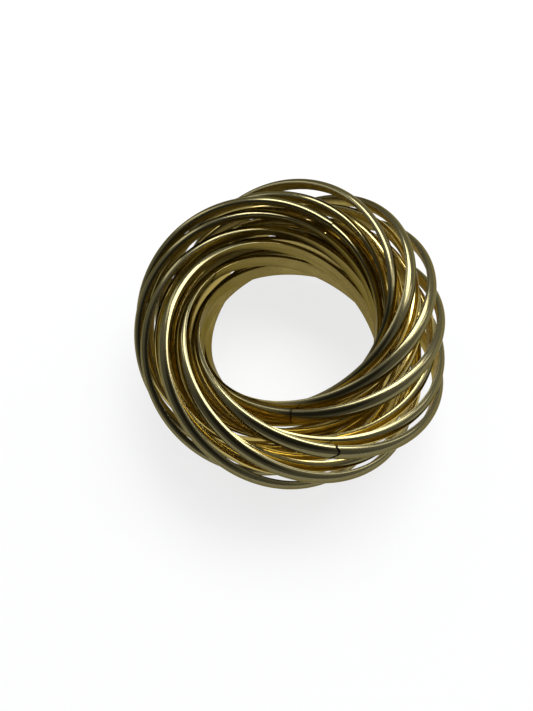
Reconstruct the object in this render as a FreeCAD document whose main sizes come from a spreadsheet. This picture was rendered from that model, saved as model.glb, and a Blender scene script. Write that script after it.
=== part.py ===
import FreeCAD, Part

import math
import os

import Sketcher

# A loose bundle of half-round brass rings, a hand puzzle. Every ring is linked once through
# every other ring, so the bundle rolls inside out between the fingers and never comes apart.
# Units are millimetres and degrees. +X is to the viewer's right, +Y away from the viewer and
# +Z up. The origin is on the surface that the bundle lies on, below the middle of its outline.

# Driving dimensions: alias, value, meaning.
SIZES = [
    ("bore_diameter", 50.0, "across the flat inner face of a ring"),
    ("band_width", 3.5, "along the flat inner face"),
    ("band_depth", 1.5, "from the flat inner face to the crown"),
    ("crown_width", 1.8, "of the flat that stands for the top of the round face"),
    ("seam_width", 0.2, "between the two butted ends of the bent wire"),
    ("side_play", 0.5, "added to the band's width in one step of lean or lift"),
    ("back_play", 0.8, "added to the band's depth in one step of reach"),
]

# Where each ring lies: bearing, reach, lean, lift and seam. Bearing is the direction,
# anticlockwise from +X, in which the ring stands out furthest and about which it leans. Reach
# moves its centre out along the bearing, in steps of the band's depth and back play. Lean
# lifts its rim, a quarter turn clockwise of the bearing, in steps of the band's width and
# side play, and lift raises the whole ring in the same steps. So two rings clear each other
# all the way round where they are about a step apart. Seam is the place of the butt joint on
# the ring, in degrees anticlockwise from the bearing.
RING_PLACES = {
    "outer_ring": [
        (7.4, 2.37, 2.52, -0.19, 241),
        (40.6, 2.93, 2.77, -0.06, 108),
        (68.9, 3.18, 3.07, -0.09, 111),
        (105.5, 3.16, 2.91, 0.35, 122),
        (136.1, 2.70, 2.56, 0.09, 126),
        (164.5, 3.09, 3.01, 0.24, 234),
        (184.2, 2.95, 2.95, -0.05, 120),
        (212.7, 2.75, 2.52, -0.10, 152),
        (250.7, 3.10, 3.17, 0.23, 70),
        (278.4, 3.15, 3.02, 0.00, 212),
        (311.5, 3.27, 2.76, 0.01, 308),
    ],
    "inner_ring": [
        (59.4, 1.11, 1.03, -0.06, 106),
        (122.0, 1.70, 1.64, 0.05, 54),
        (285.8, 2.26, 2.00, -0.08, 105),
        (328.1, 2.59, 1.98, -0.17, 103),
        (346.1, 1.59, 0.97, -0.13, 119),
        (168.0, 2.14, 2.05, 0.24, 124),
        (163.6, 0.92, 0.76, 0.02, 357),
        (72.0, 2.12, 2.05, -0.01, 79),
        (252.0, 1.96, 1.88, 0.00, 273),
        (216.5, 1.38, 1.32, -0.02, 36),
        (284.0, 1.15, 0.95, -0.01, 139),
    ],
}


def make_sheet(doc):
    sheet = doc.addObject("Spreadsheet::Sheet", "Sizes")
    for row, (alias, value, meaning) in enumerate(SIZES, start=1):
        sheet.set(f"A{row}", alias)
        sheet.set(f"B{row}", str(value))
        sheet.set(f"C{row}", meaning)
        sheet.setAlias(f"B{row}", alias)
    doc.recompute()
    return sheet


def section_corners(sheet):
    """Radius and height of the section's corners: the bore's two edges and the crown's two."""
    bore = sheet.bore_diameter / 2
    crown = bore + sheet.band_depth
    half_band = sheet.band_width / 2
    half_crown = sheet.crown_width / 2
    return [(bore, -half_band), (crown, -half_crown), (crown, half_crown), (bore, half_band)]


def drive(sketch, name, formula, *constraint):
    """Adds a named dimension to the sketch and ties it to the sheet."""
    index = sketch.addConstraint(Sketcher.Constraint(*constraint))
    sketch.renameConstraint(index, name)
    sketch.setExpression(f"Constraints.{name}", formula)


def draw_section(body, sheet, seam):
    """The half-round wire in section, drawn where the ring's butt joint is."""
    sketch = body.newObject("Sketcher::SketchObject", f"{body.Name}_section")
    plane = next(item for item in body.Origin.OriginFeatures if item.Role == "XZ_Plane")
    sketch.AttachmentSupport = [(plane, "")]
    sketch.MapMode = "FlatFace"
    ring_axis = FreeCAD.Vector(0, 1, 0)
    sketch.AttachmentOffset = FreeCAD.Placement(
        FreeCAD.Vector(0, 0, 0), FreeCAD.Rotation(ring_axis, seam)
    )

    corners = section_corners(sheet)
    points = [FreeCAD.Vector(radius, height, 0) for radius, height in corners]
    lower_flank, crown, upper_flank, bore = range(4)
    for start, end in zip(points, points[1:] + points[:1]):
        sketch.addGeometry(Part.LineSegment(start, end), False)
    for line, following in zip(range(4), (1, 2, 3, 0)):
        sketch.addConstraint(Sketcher.Constraint("Coincident", line, 2, following, 1))
    for line in (crown, bore):
        sketch.addConstraint(Sketcher.Constraint("Symmetric", line, 1, line, 2, -1))

    bore_radius, half_band = corners[3]
    crown_radius, half_crown = corners[2]
    drive(sketch, "bore_radius", "Sizes.bore_diameter / 2",
          "DistanceX", -1, 1, bore, 1, bore_radius)
    drive(sketch, "crown_radius", "Sizes.bore_diameter / 2 + Sizes.band_depth",
          "DistanceX", -1, 1, crown, 2, crown_radius)
    drive(sketch, "band_width", "Sizes.band_width",
          "DistanceY", bore, 2, bore, 1, 2 * half_band)
    drive(sketch, "crown_width", "Sizes.crown_width",
          "DistanceY", crown, 1, crown, 2, 2 * half_crown)
    return sketch


def make_ring(doc, sheet, name, seam):
    """One ring round its own Z axis, bent once round so that its two ends all but meet."""
    body = doc.addObject("PartDesign::Body", name)
    body.Label = name
    sketch = draw_section(body, sheet, seam)
    bend = body.newObject("PartDesign::Revolution", f"{name}_bend")
    bend.Profile = sketch
    bend.ReferenceAxis = (sketch, ["V_Axis"])
    bend.setExpression(
        "Angle", "360 deg * (1 - Sizes.seam_width / (pi * Sizes.bore_diameter))"
    )
    return body


def ring_placement(sheet, bearing, reach, lean, lift):
    """Centre out along the bearing, then the ring leaned about that same direction."""
    back_step = sheet.band_depth + sheet.back_play
    side_step = sheet.band_width + sheet.side_play
    middle_radius = (sheet.bore_diameter + sheet.band_depth) / 2
    lean_angle = math.degrees(math.asin(lean * side_step / middle_radius))
    turn = math.radians(bearing)
    centre = FreeCAD.Vector(math.cos(turn), math.sin(turn), 0) * (reach * back_step)
    centre.z = lift * side_step
    return FreeCAD.Placement(centre, FreeCAD.Rotation(bearing, 0, -lean_angle))


def extent(sheet, placement, direction):
    """Lowest and highest reach of a ring along a direction, from its section's corner circles."""
    axis = placement.Rotation.multVec(FreeCAD.Vector(0, 0, 1))
    along_axis = axis.dot(direction)
    across_axis = math.sqrt(max(0.0, 1 - along_axis**2))
    middle = placement.Base.dot(direction)
    corners = section_corners(sheet)
    low = min(middle + height * along_axis - radius * across_axis for radius, height in corners)
    high = max(middle + height * along_axis + radius * across_axis for radius, height in corners)
    return low, high


def bundle_shift(sheet, placements):
    """Brings the middle of the bundle's outline over the origin and its lowest rims to z = 0."""
    shift = FreeCAD.Vector(0, 0, 0)
    for index, direction in enumerate(
        (FreeCAD.Vector(1, 0, 0), FreeCAD.Vector(0, 1, 0), FreeCAD.Vector(0, 0, 1))
    ):
        extents = [extent(sheet, placement, direction) for placement in placements]
        low = min(item[0] for item in extents)
        high = max(item[1] for item in extents)
        shift[index] = -low if index == 2 else -(low + high) / 2
    return shift


def check_built(doc, bodies):
    for item in doc.Objects:
        if "Invalid" in item.State or "Error" in item.State:
            raise RuntimeError(f"{item.Name} failed: {item.State}")
    for body in bodies:
        if body.Shape.isNull() or not body.Shape.isValid() or len(body.Shape.Solids) != 1:
            raise RuntimeError(f"{body.Label} is not one valid solid")


def main():
    doc = FreeCAD.newDocument("linked_ring_puzzle")
    sheet = make_sheet(doc)
    bodies = []
    placements = []
    for kind, places in RING_PLACES.items():
        for number, (*place, seam) in enumerate(places, start=1):
            bodies.append(make_ring(doc, sheet, f"{kind}_{number:02d}", seam))
            placements.append(ring_placement(sheet, *place))
    doc.recompute()

    shift = bundle_shift(sheet, placements)
    for body, placement in zip(bodies, placements):
        placement.Base = placement.Base + shift
        body.Placement = placement
    doc.recompute()
    check_built(doc, bodies)

    os.makedirs("parts", exist_ok=True)
    for body in bodies:
        body.Shape.exportStep(f"parts/{body.Label}.step")
        centre = body.Placement.Base
        axis = body.Placement.Rotation.multVec(FreeCAD.Vector(0, 0, 1))
        print(f"{body.Label}: {body.Shape.Volume:.2f} mm3, "
              f"centre {centre.x:.4f} {centre.y:.4f} {centre.z:.4f}, "
              f"axis {axis.x:.6f} {axis.y:.6f} {axis.z:.6f}")


main()
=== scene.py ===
"""A bundle of linked brass rings: the bent wire of each, its finish, the light and the view."""

import math

import bpy
import numpy as np
from bpy.props import (
    FloatProperty,
    FloatVectorProperty,
    IntProperty,
    PointerProperty,
)
from bpy.types import Operator, Panel, PropertyGroup
from mathutils import Matrix, Vector
from mathutils.bvhtree import BVHTree


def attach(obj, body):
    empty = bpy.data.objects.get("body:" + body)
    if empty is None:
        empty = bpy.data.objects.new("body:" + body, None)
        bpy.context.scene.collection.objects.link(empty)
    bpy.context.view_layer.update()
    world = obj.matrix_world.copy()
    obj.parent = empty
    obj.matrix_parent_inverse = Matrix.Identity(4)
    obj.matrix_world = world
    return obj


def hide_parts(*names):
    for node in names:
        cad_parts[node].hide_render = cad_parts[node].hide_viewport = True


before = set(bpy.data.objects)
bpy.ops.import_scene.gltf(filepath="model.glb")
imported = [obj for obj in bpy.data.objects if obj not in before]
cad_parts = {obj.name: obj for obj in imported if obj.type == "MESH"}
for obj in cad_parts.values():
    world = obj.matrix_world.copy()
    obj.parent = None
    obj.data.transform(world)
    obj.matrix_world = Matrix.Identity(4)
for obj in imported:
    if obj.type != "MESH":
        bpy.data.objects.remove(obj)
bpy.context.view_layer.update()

bl_info = {
    "name": "Linked Ring Puzzle",
    "version": (1, 0, 0),
    "blender": (4, 5, 0),
    "location": "3D View > Sidebar > Ring Puzzle",
    "description": "Models a loose bundle of linked brass rings on a studio floor",
    "category": "Add Mesh",
}

# Butt joint of each ring: its place on the ring in degrees, anticlockwise from the ring's
# level diameter, and the kind of cut there, from the table of cuts below.
JOINTS = {
    "outer_ring_01": (241, "open"),
    "outer_ring_02": (108, "straight"),
    "outer_ring_03": (111, "straight"),
    "outer_ring_04": (122, "straight"),
    "outer_ring_05": (126, "straight"),
    "outer_ring_06": (234, "stepped"),
    "outer_ring_07": (120, "straight"),
    "outer_ring_08": (152, "straight"),
    "outer_ring_09": (70, "straight"),
    "outer_ring_10": (212, "stepped"),
    "outer_ring_11": (308, "crooked"),
    "inner_ring_01": (106, "straight"),
    "inner_ring_02": (54, "straight"),
    "inner_ring_03": (105, "straight"),
    "inner_ring_04": (103, "straight"),
    "inner_ring_05": (119, "straight"),
    "inner_ring_06": (124, "straight"),
    "inner_ring_07": (357, "straight"),
    "inner_ring_08": (79, "straight"),
    "inner_ring_09": (273, "straight"),
    "inner_ring_10": (36, "straight"),
    "inner_ring_11": (139, "straight"),
}

# How the two ends of a wire meet: the gap between them, how far one end stands proud, both in
# metres, and the line of the cut, as shifts along the wire at places across the round face
# from the lower rim, -1, to the upper one, 1.
CUTS = {
    "straight": (0.00006, 0.0, ((-1, 0.0), (1, 0.0))),
    "open": (0.00009, 0.00003, ((-1, -0.0001), (1, 0.0001))),
    "stepped": (0.00012, 0.00012, ((-1, 0.0002), (1, -0.0001))),
    "crooked": (0.00034, 0.00004, (
        (-1, -0.0022), (-0.45, -0.0019), (-0.36, -0.0013), (-0.18, -0.0011), (-0.06, -0.0006),
        (0.10, -0.0005), (0.22, 0.0), (0.45, 0.0003), (0.66, 0.0), (0.82, -0.0003),
        (1, -0.0004))),
}

# Length of wire on each side of a joint that is worked to the line of its cut, and the gap
# that the bend leaves for it.
CUT_REACH = 0.004
HAIR = 0.00001

# How finely exposure is judged: places round a ring, and directions looked in from each. The
# directions are a golden turn apart, start just off the surface and reach across the bundle.
SHELTER_STEPS = 96
SHELTER_RAYS = 20
GOLDEN_TURN = 2.399963
RAY_START = 0.0002
RAY_REACH = 0.03

# Places over the section at which exposure is judged: degrees between those on the round face,
# and how far out, as a share of half the width, the outer two lie on the flat one.
ROUND_STEP = 25
FLAT_PLACE = 0.8

# How far the brass pattern moves along the wire from one ring to the next, in metres.
PATTERN_SHIFT = 0.21

# Way that the outer faces darkened by painted shade look, away from the viewer.
AWAY = (-0.34, 0.94, 0.0)

# Ways in which the room is dark: towards the viewer's own shape, and over the near side.
VIEWER = (-0.16, -0.44, 0.883)
NEAR_SIDE = (-0.50, -0.85, 0.0)

# Slightly cool daylight of the softboxes, and the height of the point that they look at.
LAMP_COLOUR = (0.98, 0.99, 1.04)
LAMP_AIM = 0.014

# Size across, size down, bearing and elevation in degrees, distance and power of each softbox.
SOFTBOXES = {
    "main_softbox": ((0.85, 0.42), 48, 55, 1.0, 11.0),
    "left_strip": ((0.22, 0.80), 120, 34, 1.0, 1.3),
    "right_strip": ((0.22, 0.60), 0, 36, 1.0, 1.0),
}

# Width of the floor, and how far it is lifted to white where it is the background.
FLOOR_SIZE = 6
FLOOR_LIFT = 0.78

# Width of the camera's sensor, in millimetres.
SENSOR_WIDTH = 36


# --- Settings -------------------------------------------------------------------------------


class RingSettings(PropertyGroup):
    """Sizes of the half-round wire and of the ring that it is bent into."""

    bore_diameter: FloatProperty(
        name="Bore diameter", description="Across the flat inner face of a ring",
        default=0.050, unit="LENGTH", precision=4,
    )
    band_width: FloatProperty(
        name="Band width", description="Across the wire, along the flat inner face",
        default=0.0033, unit="LENGTH", precision=4,
    )
    band_depth: FloatProperty(
        name="Band depth", description="From the flat inner face to the top of the round face",
        default=0.0015, unit="LENGTH", precision=4,
    )
    rim_depth: FloatProperty(
        name="Rim depth", description="Height of the blunt rim beside the flat inner face",
        default=0.0002, unit="LENGTH", precision=5,
    )
    corner_round: FloatProperty(
        name="Corner rounding", description="Radius worn on the edges of the blunt rims",
        default=0.0001, unit="LENGTH", precision=5,
    )
    steps_round: IntProperty(
        name="Steps round", description="Faces along the wire of one ring",
        default=288, min=48,
    )


class BrassSettings(PropertyGroup):
    """Colours and polish of the brass."""

    dull_brass: FloatVectorProperty(
        name="Dull brass", description="Handled, greyer brass of round faces that lie open",
        default=(0.185, 0.162, 0.080), subtype="COLOR", min=0, max=1,
    )
    # Painted light as well as clean brass: brighter and warmer than the open brass, to stand in
    # for light bounced between the rings.
    golden_brass_and_glow: FloatVectorProperty(
        name="Golden brass", description="Clean, warm brass where the other rings shelter it",
        default=(0.68, 0.535, 0.178), subtype="COLOR", min=0, max=1,
    )
    flat_brass: FloatVectorProperty(
        name="Flat brass", description="Satin brass of the flat inner faces where they lie open",
        default=(0.26, 0.20, 0.062), subtype="COLOR", min=0, max=1,
    )
    # Also the colour of the painted shade on the far outer faces and of the darker band along the
    # rims.
    tarnish_and_shade: FloatVectorProperty(
        name="Tarnish", description="Dark film in the specks, beside the rims and at the joints",
        default=(0.035, 0.027, 0.013), subtype="COLOR", min=0, max=1,
    )
    edge: FloatVectorProperty(
        name="Edge", description="Tint of what the brass mirrors at a glancing angle",
        default=(0.52, 0.48, 0.36), subtype="COLOR", min=0, max=1,
    )
    polish: FloatProperty(
        name="Polish", description="Roughness of the polished round faces",
        default=0.11, min=0.02, max=1, subtype="FACTOR",
    )
    satin: FloatProperty(
        name="Satin", description="Roughness of the flat inner faces",
        default=0.34, min=0.02, max=1, subtype="FACTOR",
    )


class StageSettings(PropertyGroup):
    """Floor, light and view."""

    floor: FloatVectorProperty(
        name="Floor", description="Colour of the pale floor",
        default=(0.86, 0.86, 0.85), subtype="COLOR", min=0, max=1,
    )
    room: FloatVectorProperty(
        name="Room", description="Soft light from all round",
        default=(0.55, 0.555, 0.56), subtype="COLOR", min=0, max=1,
    )
    dark_side: FloatVectorProperty(
        name="Dark side", description="Unlit shape of the viewer, high above the near side",
        default=(0.05, 0.051, 0.052), subtype="COLOR", min=0, max=1,
    )
    elevation: FloatProperty(
        name="Elevation", description="Height of the line of sight above the floor",
        default=math.radians(67.40), subtype="ANGLE",
    )
    roll: FloatProperty(
        name="Roll", description="Turn of the view about the line of sight",
        default=math.radians(-12.59), subtype="ANGLE",
    )
    distance: FloatProperty(
        name="Distance", description="From the lens to the middle of the bundle",
        default=0.10464, unit="LENGTH", precision=4,
    )
    focal_length: FloatProperty(
        name="Focal length", description="Focal length on a sensor 36 mm wide",
        default=33.13, subtype="DISTANCE_CAMERA",
    )
    aim: FloatVectorProperty(
        name="Aim", description="Point in the middle of the bundle that the lens looks at",
        default=(-0.00563, -0.00428, 0.01199), subtype="XYZ", unit="LENGTH",
    )


# --- Modelling helpers ----------------------------------------------------------------------


def clear_selection():
    """Leaves edit mode and deselects everything."""
    if bpy.context.object and bpy.context.object.mode != "OBJECT":
        bpy.ops.object.mode_set(mode="OBJECT")
    bpy.ops.object.select_all(action="DESELECT")


def pick(piece, kind, wanted):
    """Selects, in edit mode, the vertices, edges or faces whose place passes the test."""
    bpy.ops.mesh.select_mode(type={"vertices": "VERT", "edges": "EDGE", "polygons": "FACE"}[kind])
    bpy.ops.mesh.select_all(action="DESELECT")
    bpy.ops.object.mode_set(mode="OBJECT")
    for element in getattr(piece.data, kind):
        element.select = wanted(element)
    bpy.ops.object.mode_set(mode="EDIT")


# --- The ring -------------------------------------------------------------------------------


def make_ring_blank(ring):
    """One ring lying flat round the origin, its two ends a hair apart at +X."""
    bore = ring.bore_diameter / 2
    half_width = ring.band_width / 2
    clear_selection()
    bpy.ops.mesh.primitive_circle_add(
        vertices=40, radius=half_width, fill_type="NGON",
        location=(bore, 0, 0), rotation=(math.pi / 2, 0, 0),
    )
    blank = bpy.context.object
    blank.name = "ring_blank"
    bpy.ops.object.transform_apply(location=True, rotation=True, scale=True)
    bpy.ops.object.mode_set(mode="EDIT")

    # Half of the disc, pressed to the wire's depth and set off the bore by the blunt rims.
    bpy.ops.mesh.select_all(action="SELECT")
    bpy.ops.mesh.bisect(plane_co=(bore, 0, 0), plane_no=(1, 0, 0), clear_inner=True)
    bpy.ops.mesh.select_all(action="SELECT")
    dome = (ring.band_depth - ring.rim_depth) / half_width
    bpy.ops.transform.resize(value=(dome, 1, 1), center_override=(bore, 0, 0))
    bpy.ops.transform.translate(value=(ring.rim_depth, 0, 0))
    pick(blank, "edges", lambda edge: all(
        blank.data.vertices[end].co.x < bore + ring.rim_depth + 1e-6 for end in edge.vertices))
    bpy.ops.mesh.extrude_edges_move(TRANSFORM_OT_translate={"value": (-ring.rim_depth, 0, 0)})
    bpy.ops.mesh.select_all(action="SELECT")
    bpy.ops.mesh.dissolve_faces()
    pick(blank, "vertices", lambda vertex: vertex.co.x < bore + ring.rim_depth + 1e-6)
    bpy.ops.mesh.bevel(offset=ring.corner_round, segments=3, affect="VERTICES")

    # Bent once round the axis, all but a hair, which the cut of each joint then opens.
    bpy.ops.mesh.select_all(action="SELECT")
    bpy.ops.mesh.spin(
        steps=ring.steps_round, angle=2 * math.pi - HAIR / bore, center=(0, 0, 0), axis=(0, 0, 1),
    )
    bpy.ops.mesh.select_all(action="SELECT")
    bpy.ops.mesh.normals_make_consistent(inside=False)
    bpy.ops.object.mode_set(mode="OBJECT")
    return blank


def unroll(blank, ring):
    """Gives the wire a UV map in metres: along it in U, and round its section in V.

    V runs over the round face from rim to rim, 0 on its crown, and over the flat inner face
    from twice the band's width, so that a material can tell the two apart. A second map has
    the distance from the joint in U.
    """
    mesh = blank.data
    bore = ring.bore_diameter / 2
    layer = mesh.uv_layers.new(name="wire")
    joint_layer = mesh.uv_layers.new(name="joint")
    for face in mesh.polygons:
        middle = face.center
        outward = Vector((middle.x, middle.y, 0)).normalized()
        inner = face.normal.dot(outward) < -0.9
        turn_here = math.atan2(middle.y, middle.x) % (2 * math.pi)
        for loop_index in face.loop_indices:
            point = mesh.vertices[mesh.loops[loop_index].vertex_index].co
            turn = math.atan2(point.y, point.x)
            turn += 2 * math.pi * round((turn_here - turn) / (2 * math.pi))
            radius = math.hypot(point.x, point.y)
            if inner:
                round_section = 2 * ring.band_width + point.z
            else:
                round_section = math.atan2(point.z, radius - bore) * ring.band_width / 2
            layer.data[loop_index].uv = (turn * bore, round_section)
            from_joint = math.pi - abs(turn - math.pi)
            joint_layer.data[loop_index].uv = (from_joint * bore, round_section)


def cut_joint(piece, ring, cut):
    """Works the two ends of a ring that still lies flat to the line and gap of its cut."""
    gap, proud, line = CUTS[cut]
    bore = ring.bore_diameter / 2
    places, shifts = zip(*line)

    # Near +X lie only the two ends, on either side of the hair between them.
    turns = [math.atan2(vertex.co.y, vertex.co.x) for vertex in piece.data.vertices]
    ends = [turn for turn in turns if abs(turn) < 1.5 * HAIR / bore]
    middle = (min(ends) + max(ends)) / 2
    for vertex, turn in zip(piece.data.vertices, turns):
        reach = 1 - abs(turn) * bore / CUT_REACH
        if reach <= 0:
            continue
        side = 1 if turn > middle else -1
        radius = math.hypot(vertex.co.x, vertex.co.y)
        place = math.atan2(vertex.co.z, radius - bore) / (math.pi / 2)
        shift = float(np.interp(place, places, shifts)) * reach + side * gap / 2 * reach
        turn += shift / bore
        if side > 0:
            radius += proud * reach**3
        vertex.co.x, vertex.co.y = radius * math.cos(turn), radius * math.sin(turn)


def ring_place(node):
    """The turn and shift that take a flat ring to its place in the frame, from its CAD solid.

    Its own X is level, along the diameter about which the ring leans. The axis is the line of
    least spread, and the middle comes from a circle through the points on the bore.
    """
    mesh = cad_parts[node].data
    points = np.array([vertex.co for vertex in mesh.vertices])
    points = np.unique(points.round(7), axis=0)
    middle = (points.min(axis=0) + points.max(axis=0)) / 2
    for _ in range(4):
        axis = np.linalg.svd(points - middle, full_matrices=False)[2][2]
        axis *= math.copysign(1, axis[2])
        flat = points - middle
        heights = flat @ axis
        across = np.linalg.svd(np.eye(3) - np.outer(axis, axis))[0][:, :2]
        bore = np.hypot(*(flat @ across).T)
        edge = bore < bore.min() + 0.0004
        plane = (flat @ across)[edge]
        fit = np.linalg.lstsq(
            np.column_stack([2 * plane, np.ones(len(plane))]), (plane**2).sum(axis=1), rcond=None
        )[0]
        middle = middle + across @ fit[:2] + axis * (heights.min() + heights.max()) / 2
    axis = Vector(axis)
    level = axis.cross(Vector((0, 0, 1))).normalized()
    turn = Matrix((level, axis.cross(level), axis)).transposed().to_4x4()
    return Matrix.Translation(Vector(middle)) @ turn


def section_points(ring):
    """Places and outward directions, as radius and height, at which exposure is judged.

    Seven lie on the round face, from the lower rim to the upper, and three on the flat one.
    """
    bore, half_width = ring.bore_diameter / 2, ring.band_width / 2
    points = []
    for place in range(-3, 4):
        angle = math.radians(ROUND_STEP * place)
        points.append((bore + ring.band_depth * math.cos(angle), half_width * math.sin(angle),
                       math.cos(angle), math.sin(angle)))
    for height in (FLAT_PLACE, 0.0, -FLAT_PLACE):
        points.append((bore, height * half_width, -1.0, 0.0))
    return points


def turns_about(count):
    """Even turns all the way round, in radians."""
    return [2 * math.pi * number / count for number in range(count)]


def bundle_shell(places, ring):
    """A light stand-in of all the rings together, to tell what shelters what."""
    half_width = ring.band_width / 2
    bore = ring.bore_diameter / 2
    crown = bore + 0.9 * ring.band_depth
    corners = ((bore, -half_width), (crown, -0.5 * half_width), (crown, 0.5 * half_width),
               (bore, half_width))
    points, faces = [], []
    for place in places.values():
        first = len(points)
        for turn in turns_about(SHELTER_STEPS):
            for radius, height in corners:
                points.append(place @ Vector((
                    radius * math.cos(turn), radius * math.sin(turn), height)))
        for step in range(SHELTER_STEPS):
            for corner in range(4):
                here, there = 4 * step, 4 * ((step + 1) % SHELTER_STEPS)
                beyond = (corner + 1) % 4
                faces.append(tuple(first + index for index in (
                    here + corner, here + beyond, there + beyond, there + corner)))
    return BVHTree.FromPolygons(points, faces)


def exposure(place, shell, ring):
    """Share of open room over each place of a ring: a row for each step, smoothed over five."""
    rays = []
    for number in range(SHELTER_RAYS):
        rise = math.sqrt((number + 0.5) / SHELTER_RAYS)
        turn = number * GOLDEN_TURN
        rays.append((math.sqrt(1 - rise**2) * math.cos(turn),
                     math.sqrt(1 - rise**2) * math.sin(turn), rise))
    axis = place.to_3x3() @ Vector((0, 0, 1))
    section = section_points(ring)
    open_share = np.zeros((SHELTER_STEPS, len(section)))
    for step, turn in enumerate(turns_about(SHELTER_STEPS)):
        radial = place.to_3x3() @ Vector((math.cos(turn), math.sin(turn), 0))
        along = axis.cross(radial)
        for column, (radius, height, outward, upward) in enumerate(section):
            normal = radial * outward + axis * upward
            across = normal.cross(along)
            start = place.translation + radial * radius + axis * height + normal * RAY_START
            clear = 0
            for first, second, rise in rays:
                way = along * first + across * second + normal * rise
                clear += shell.ray_cast(start, way, RAY_REACH)[0] is None
            open_share[step, column] = clear / SHELTER_RAYS
    return sum(np.roll(open_share, shift, axis=0) for shift in (-2, -1, 0, 1, 2)) / 5


def spread_exposure(piece, open_share, ring):
    """Writes the exposure on the vertices of a ring that still lies flat.

    The columns of open_share are 0 to 6 on the round face and 7 to 9 on the flat one.
    """
    points = np.array([vertex.co for vertex in piece.data.vertices])
    bore, half_width = ring.bore_diameter / 2, ring.band_width / 2
    step = (np.arctan2(points[:, 1], points[:, 0]) / (2 * math.pi) % 1) * SHELTER_STEPS
    radius = np.hypot(points[:, 0], points[:, 1])
    angle = np.degrees(np.arctan2(points[:, 2] / half_width, (radius - bore) / ring.band_depth))
    on_round = np.clip(angle / ROUND_STEP + 3, 0, 6)
    on_flat = np.clip(8 - points[:, 2] / half_width / FLAT_PLACE, 7, 9)
    column = np.where(radius < bore + 0.00002, on_flat, on_round)
    low_column = np.minimum(np.floor(column).astype(int), 8)
    low_step = np.floor(step).astype(int) % SHELTER_STEPS
    step_share, column_share = step % 1, column - low_column
    value = 0
    for next_step, step_weight in ((0, 1 - step_share), (1, step_share)):
        for next_column, column_weight in ((0, 1 - column_share), (1, column_share)):
            found = open_share[(low_step + next_step) % SHELTER_STEPS, low_column + next_column]
            value = value + found * step_weight * column_weight
    layer = piece.data.attributes.new("exposure", "FLOAT", "POINT")
    layer.data.foreach_set("value", value.astype(np.float32))


def make_rings(kind, ring, finish):
    """Models the wire once and lays a copy of it, with its own mesh, in the place of each node."""
    blank = make_ring_blank(ring)
    unroll(blank, ring)
    places = {name: ring_place(name) @ Matrix.Rotation(math.radians(angle), 4, "Z")
              for name, (angle, _cut) in JOINTS.items()}
    shell = bundle_shell(places, ring)
    names = [name for name in JOINTS if name.startswith(kind)]
    for number, name in enumerate(names):
        clear_selection()
        blank.select_set(True)
        bpy.context.view_layer.objects.active = blank
        bpy.ops.object.duplicate()
        piece = bpy.context.object
        piece.name = piece.data.name = f"{name}_wire"
        spread_exposure(piece, exposure(places[name], shell, ring), ring)
        cut_joint(piece, ring, JOINTS[name][1])
        piece.matrix_world = places[name]
        bpy.ops.object.transform_apply(location=True, rotation=True, scale=True)
        bpy.ops.object.shade_smooth_by_angle(angle=math.radians(50))
        for loop in piece.data.uv_layers["wire"].data:
            loop.uv.x += PATTERN_SHIFT * (number + 1)
        piece.data.materials.append(finish)
        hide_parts(name)
        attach(piece, name)
    bpy.data.objects.remove(blank)


# --- Materials ------------------------------------------------------------------------------


class Value:
    """A number on a socket, so that shader maths is written as plain sums."""

    def __init__(self, finish, socket):
        self.finish = finish
        self.socket = socket

    def maths(self, operation, first, second):
        return self.finish.node("ShaderNodeMath", {"operation": operation}, {0: first, 1: second})

    def __add__(self, other):
        return self.maths("ADD", self, other)

    def __radd__(self, other):
        return self.maths("ADD", other, self)

    def __sub__(self, other):
        return self.maths("SUBTRACT", self, other)

    def __rsub__(self, other):
        return self.maths("SUBTRACT", other, self)

    def __mul__(self, other):
        return self.maths("MULTIPLY", self, other)

    def __rmul__(self, other):
        return self.maths("MULTIPLY", other, self)

    def __abs__(self):
        return self.finish.node("ShaderNodeMath", {"operation": "ABSOLUTE"}, {0: self})


class Finish:
    """A node tree that is filled one node at a time."""

    def __init__(self, owner):
        owner.use_nodes = True
        self.tree = owner.node_tree
        self.tree.nodes.clear()

    def node(self, kind, settings=None, sockets=None, output=0):
        """Adds a node, sets it up, then fills or links its sockets, and gives one output."""
        node = self.tree.nodes.new(kind)
        for name, setting in (settings or {}).items():
            setattr(node, name, setting)
        for name, filling in (sockets or {}).items():
            if isinstance(filling, Value):
                self.tree.links.new(filling.socket, node.inputs[name])
            else:
                node.inputs[name].default_value = filling
        return Value(self, node.outputs[output]) if node.outputs else None

    def blend(self, share, first, second):
        """One colour turning into another as the share goes from 0 to 1."""
        return self.node(
            "ShaderNodeMix", {"data_type": "RGBA", "clamp_factor": True},
            {"Factor": share, 6: first, 7: second}, output=2,
        )

    def fade(self, value, start, end):
        """0 below start and 1 above end, with a soft step between."""
        return self.node(
            "ShaderNodeMapRange", {"interpolation_type": "SMOOTHSTEP"},
            {"Value": value, "From Min": start, "From Max": end},
        )

    def noise(self, place, scale, detail=2.0, roughness=0.5):
        """Soft noise about 0.5."""
        return self.node(
            "ShaderNodeTexNoise", {"noise_dimensions": "3D"},
            {"Vector": place, "Scale": scale, "Detail": detail, "Roughness": roughness},
        )

    def facing(self, direction, way):
        """1 where the direction points the given way, -1 where it points the other way."""
        return self.node(
            "ShaderNodeVectorMath", {"operation": "DOT_PRODUCT"}, {0: direction, 1: way}, output=1)


def opaque(colour):
    """The colour with its alpha, as a socket takes it."""
    return (*colour, 1.0)


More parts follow.
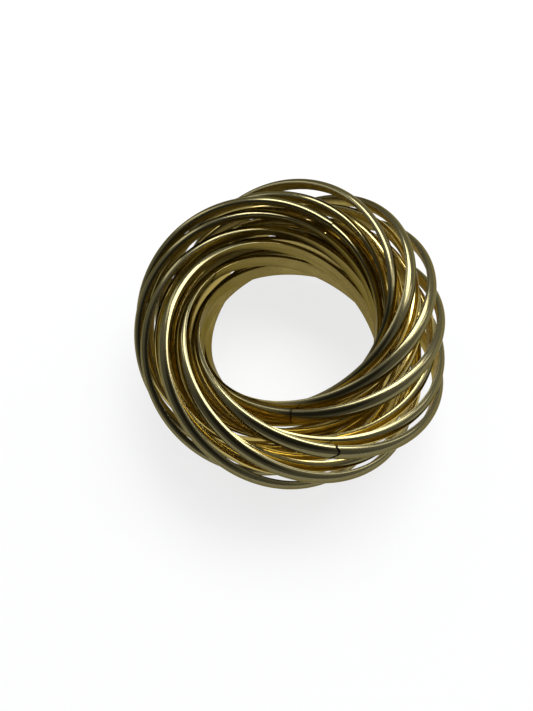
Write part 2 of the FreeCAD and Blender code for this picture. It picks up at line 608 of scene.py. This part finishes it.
def make_brass(brass, ring):
    """Worn brass: polished on the round face, satin on the flat one, with specks and scratches, a
    painted glow where the rings shelter each other and painted shade on the far outer faces.
    """
    material = bpy.data.materials.new("aged_brass")
    finish = Finish(material)
    unrolled = finish.node("ShaderNodeUVMap", {"uv_map": "wire"})
    along = finish.node("ShaderNodeSeparateXYZ", sockets={0: unrolled}, output=0)
    across = finish.node("ShaderNodeSeparateXYZ", sockets={0: unrolled}, output=1)
    flat_face = finish.fade(across, 1.2 * ring.band_width, 1.3 * ring.band_width)
    place = finish.node("ShaderNodeTexCoord", output=3)
    joint_map = finish.node("ShaderNodeUVMap", {"uv_map": "joint"})
    from_joint = finish.node("ShaderNodeSeparateXYZ", sockets={0: joint_map}, output=0)

    def stretched(lengthwise, crosswise):
        """Place on the unrolled wire, in metres, scaled along it and across it."""
        return finish.node(
            "ShaderNodeCombineXYZ", sockets={0: along * lengthwise, 1: across * crosswise}
        )

    # Sheltered brass is golden, and brass that lies open is dull: partly clean against handled
    # brass, partly painted light, where the brighter, warmer sheltered brass stands in for light
    # bounced between the rings.
    exposed = finish.node("ShaderNodeAttribute", {"attribute_name": "exposure"}, output=2)
    patches = finish.noise(place, 140.0, 3.0)
    dull = finish.fade(exposed + (patches - 0.5) * 0.4, 0.22, 0.80)
    bare = finish.blend(flat_face, opaque(brass.dull_brass), opaque(brass.flat_brass))
    colour = finish.blend(dull, opaque(brass.golden_brass_and_glow), bare)

    # Painted shade: the outer faces on the far side, turned away from the viewer, are darker than
    # the rest.
    turned_away = finish.facing(finish.node("ShaderNodeTexCoord", output=1), AWAY)
    painted_far_shade = finish.fade(turned_away + (patches - 0.5) * 0.2, 0.15, 0.60) * (1 - flat_face)

    # Specks, brown film, fine grain, rubbed streaks, a darker band along each rim of the round
    # face, and dark joints.
    rim_height = 0.5 * math.pi * ring.band_width / 2
    beside_rim = finish.fade(abs(across), 0.86 * rim_height, 0.99 * rim_height) * (1 - flat_face)
    specks = 1 - finish.fade(finish.node(
        "ShaderNodeTexVoronoi", {"feature": "F1"},
        {"Vector": stretched(1.0, 1.0), "Scale": 900.0}), 0.05, 0.11)
    speck_places = finish.fade(finish.noise(stretched(1.0, 1.0), 420.0, 1.0), 0.55, 0.60)
    film = finish.fade(finish.noise(stretched(60.0, 700.0), 1.0, 4.0), 0.50, 0.80)
    grain = finish.fade(finish.noise(stretched(1.0, 1.0), 2600.0, 2.0), 0.35, 0.75)
    rubbed = finish.fade(finish.noise(stretched(30.0, 5200.0), 1.0, 2.0), 0.48, 0.72)
    joint = 1 - finish.fade(from_joint + (patches - 0.5) * 0.0003, 0.00002, 0.00022)
    # Real specks, film, grain, streaks and dark joints, together with the band along the rims and
    # the painted shade on the far outer faces.
    grime_and_painted_shade = (specks * speck_places * 0.8 + film * 0.30 + beside_rim * 0.3 + grain * dull * 0.22
             + joint * 0.6 + rubbed * (1 - dull) * 0.45 + painted_far_shade * 0.8)
    colour = finish.blend(grime_and_painted_shade, colour, opaque(brass.tarnish_and_shade))

    scratches = finish.noise(stretched(90.0, 9000.0), 1.0, 3.0, 0.6)
    roughness = (brass.polish + flat_face * (brass.satin - brass.polish)
                 + (scratches - 0.5) * 0.12 + film * 0.12 + grain * dull * 0.08)
    bumps = finish.node(
        "ShaderNodeBump", None,
        {"Strength": 0.35, "Distance": 0.00002,
         "Height": scratches * (0.35 + flat_face * 0.65) - specks * speck_places - joint * 0.5},
    )
    surface = finish.node("ShaderNodeBsdfPrincipled", None, {
        "Base Color": colour, "Metallic": 1.0, "Roughness": roughness, "Normal": bumps,
        "Specular Tint": opaque(brass.edge),
    })
    finish.node("ShaderNodeOutputMaterial", None, {"Surface": surface})
    return material


def make_floor_finish(stage):
    """A pale matt floor, lifted towards white where it is the background."""
    material = bpy.data.materials.new("studio_floor")
    finish = Finish(material)
    matt = finish.node("ShaderNodeBsdfDiffuse", None, {"Color": opaque(stage.floor)})
    white = finish.node("ShaderNodeEmission", None, {"Color": (1, 1, 1, 1), "Strength": 1.0})
    # Seen by the camera itself, in a gloss or through glass.
    seen = (finish.node("ShaderNodeLightPath", output=0)
            + finish.node("ShaderNodeLightPath", output=3)
            + finish.node("ShaderNodeLightPath", output=6))
    seen = finish.node("ShaderNodeMath", {"operation": "MINIMUM"}, {0: seen, 1: 1.0})
    lift = seen * FLOOR_LIFT
    surface = finish.node("ShaderNodeMixShader", None, {0: lift, 1: matt, 2: white})
    finish.node("ShaderNodeOutputMaterial", None, {"Surface": surface})
    return material


# --- Stage ----------------------------------------------------------------------------------


def view_axes(stage):
    """Right, up and back of the view, in the part's own frame."""
    rise = stage.elevation
    back = Vector((0, -math.cos(rise), math.sin(rise)))
    level = Vector((1, 0, 0))
    steep = Vector((0, math.sin(rise), math.cos(rise)))
    right = level * math.cos(stage.roll) + steep * math.sin(stage.roll)
    up = steep * math.cos(stage.roll) - level * math.sin(stage.roll)
    return right, up, back


def place_camera(stage):
    """Sets the camera to the photo's view."""
    right, up, back = view_axes(stage)
    clear_selection()
    bpy.ops.object.camera_add()
    camera = bpy.context.object
    camera.name = "view"
    camera.data.sensor_fit = "HORIZONTAL"
    camera.data.sensor_width = SENSOR_WIDTH
    camera.data.lens = stage.focal_length
    camera.data.clip_start = 0.005
    turn = Matrix((right, up, back)).transposed().to_4x4()
    camera.matrix_world = Matrix.Translation(Vector(stage.aim) + back * stage.distance) @ turn
    bpy.context.scene.camera = camera


def add_softbox(name, size, bearing, elevation, distance, power):
    """An area lamp that looks at the bundle from a bearing, given in degrees, and a height."""
    turn, rise = math.radians(bearing), math.radians(elevation)
    away = Vector((
        math.cos(turn) * math.cos(rise), math.sin(turn) * math.cos(rise), math.sin(rise)))
    clear_selection()
    bpy.ops.object.light_add(type="AREA")
    lamp = bpy.context.object
    lamp.name = name
    lamp.data.shape = "RECTANGLE"
    lamp.data.size, lamp.data.size_y = size
    lamp.data.energy = power
    lamp.data.color = LAMP_COLOUR
    lamp.location = Vector((0, 0, LAMP_AIM)) + away * distance
    lamp.rotation_euler = away.to_track_quat("Z", "Y").to_euler()


def light_room(stage):
    """Even soft light, less of it on the near side, with the viewer's own dark shape above."""
    world = bpy.data.worlds.new("room")
    bpy.context.scene.world = world
    finish = Finish(world)
    direction = finish.node("ShaderNodeTexCoord", output=0)
    viewer = finish.fade(
        finish.facing(direction, tuple(Vector(VIEWER).normalized())), 0.70, 0.94)
    near_side = finish.fade(
        finish.facing(direction, tuple(Vector(NEAR_SIDE).normalized())), -0.6, 0.6)
    shade = 1 - (1 - viewer) * (1 - near_side * 0.6)
    colour = finish.blend(shade, opaque(stage.room), opaque(stage.dark_side))
    light = finish.node("ShaderNodeBackground", None, {"Color": colour, "Strength": 1.0})
    finish.node("ShaderNodeOutputWorld", None, {"Surface": light})


# --- Operators ------------------------------------------------------------------------------


class PUZZLE_OT_outer_rings(Operator):
    """Models the wire of the rings that lie on the outside of the bundle"""

    bl_idname = "puzzle.outer_rings"
    bl_label = "Outer Rings"

    def execute(self, context):
        scene = context.scene
        make_rings("outer_ring", scene.puzzle_ring, finish_named("aged_brass", scene))
        return {"FINISHED"}


class PUZZLE_OT_inner_rings(Operator):
    """Models the wire of the rings that lie deeper in the bundle"""

    bl_idname = "puzzle.inner_rings"
    bl_label = "Inner Rings"

    def execute(self, context):
        scene = context.scene
        make_rings("inner_ring", scene.puzzle_ring, finish_named("aged_brass", scene))
        return {"FINISHED"}


class PUZZLE_OT_stage(Operator):
    """Adds the floor, the soft light and the camera"""

    bl_idname = "puzzle.stage"
    bl_label = "Stage"

    def execute(self, context):
        stage = context.scene.puzzle_stage
        clear_selection()
        bpy.ops.mesh.primitive_plane_add(size=FLOOR_SIZE, location=(0, 0, 0))
        floor = bpy.context.object
        floor.name = "floor"
        floor.data.materials.append(make_floor_finish(stage))
        light_room(stage)
        for name, softbox in SOFTBOXES.items():
            add_softbox(name, *softbox)
        place_camera(stage)
        context.scene.view_settings.view_transform = "Standard"
        return {"FINISHED"}


def finish_named(name, scene):
    """The brass, made the first time it is asked for."""
    found = bpy.data.materials.get(name)
    return found or make_brass(scene.puzzle_brass, scene.puzzle_ring)


class PUZZLE_PT_panel(Panel):
    """Lists the puzzle's settings and the buttons that build its pieces"""

    bl_idname = "PUZZLE_PT_panel"
    bl_label = "Linked Ring Puzzle"
    bl_space_type = "VIEW_3D"
    bl_region_type = "UI"
    bl_category = "Ring Puzzle"

    def draw(self, context):
        scene = context.scene
        for title, group in (
            ("Rings", scene.puzzle_ring),
            ("Brass", scene.puzzle_brass),
            ("Stage", scene.puzzle_stage),
        ):
            box = self.layout.box()
            box.label(text=title)
            for name in group.bl_rna.properties.keys():
                if name not in ("rna_type", "name"):
                    box.prop(group, name)
        for operator in OPERATORS:
            self.layout.operator(operator.bl_idname)


OPERATORS = (PUZZLE_OT_outer_rings, PUZZLE_OT_inner_rings, PUZZLE_OT_stage)
SETTINGS = {
    "puzzle_ring": RingSettings,
    "puzzle_brass": BrassSettings,
    "puzzle_stage": StageSettings,
}


def register():
    """Adds the settings, operators and panel to Blender."""
    for group in (*SETTINGS.values(), *OPERATORS, PUZZLE_PT_panel):
        bpy.utils.register_class(group)
    for name, group in SETTINGS.items():
        setattr(bpy.types.Scene, name, PointerProperty(type=group))


def unregister():
    """Takes them out again."""
    for name in SETTINGS:
        delattr(bpy.types.Scene, name)
    for group in reversed((*SETTINGS.values(), *OPERATORS, PUZZLE_PT_panel)):
        bpy.utils.unregister_class(group)


def main():
    """Builds the whole scene."""
    register()
    bpy.ops.puzzle.outer_rings()
    bpy.ops.puzzle.inner_rings()
    bpy.ops.puzzle.stage()


if __name__ == "__main__":
    main()
